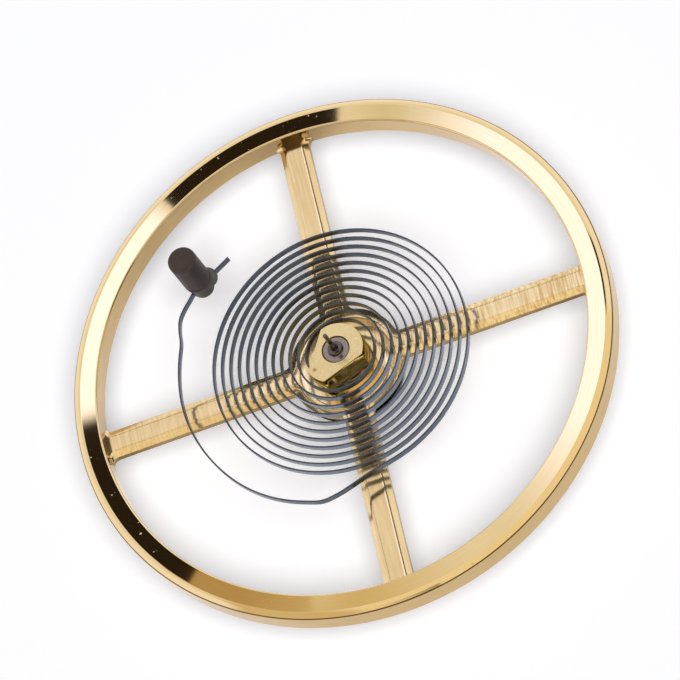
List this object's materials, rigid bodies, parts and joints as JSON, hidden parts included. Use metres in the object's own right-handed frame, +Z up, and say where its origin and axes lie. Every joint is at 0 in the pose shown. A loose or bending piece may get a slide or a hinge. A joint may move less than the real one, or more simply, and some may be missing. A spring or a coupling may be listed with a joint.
{
  "type": "balance wheel",
  "caption": "Smooth-rimmed watch balance on its staff, with a flat hairspring, its collet and stud above and rollers with the impulse jewel below; it swings to and fro to keep time.",
  "frame": {"origin": "tip of the lower pivot, on the staff's axis", "axes": "+Z up the staff from the rollers to the hairspring, +X along one arm of the wheel and through the impulse jewel, +Y along the next arm"},
  "size_m": [0.01, 0.01, 0.0029],
  "materials": {
    "gilt_brass": "gilt, with the rim's top face turned and the arms grained",
    "staff_steel": "polished",
    "collet_brass": "fine matt",
    "pin_brass": "plain",
    "spring_alloy": "smooth rolled",
    "stud_steel": "dark, turned",
    "cement": "matt bead",
    "roller_steel": "polished",
    "ruby": "polished",
    "shellac": "gloss"
  },
  "bodies": {
    "stud_side": {"hairspring_stud": "stud_steel", "stud_cement": "cement"},
    "balance": {"balance_wheel": "gilt_brass", "balance_staff": "staff_steel", "collet": "collet_brass", "collet_pin": "pin_brass", "hairspring": "spring_alloy", "impulse_roller": "roller_steel", "safety_roller": "roller_steel", "impulse_jewel": "ruby", "jewel_shellac": "shellac"}
  },
  "joints": [
    {"name": "balance_swing", "type": "hinge", "parent": "stud_side", "child": "balance", "pos_m": [0, 0, 0], "axis": [0, 0, 1], "range_deg": [-300, 300], "stiffness_Nm_per_rad": 0.00000049, "deforming": ["hairspring"]}
  ]
}
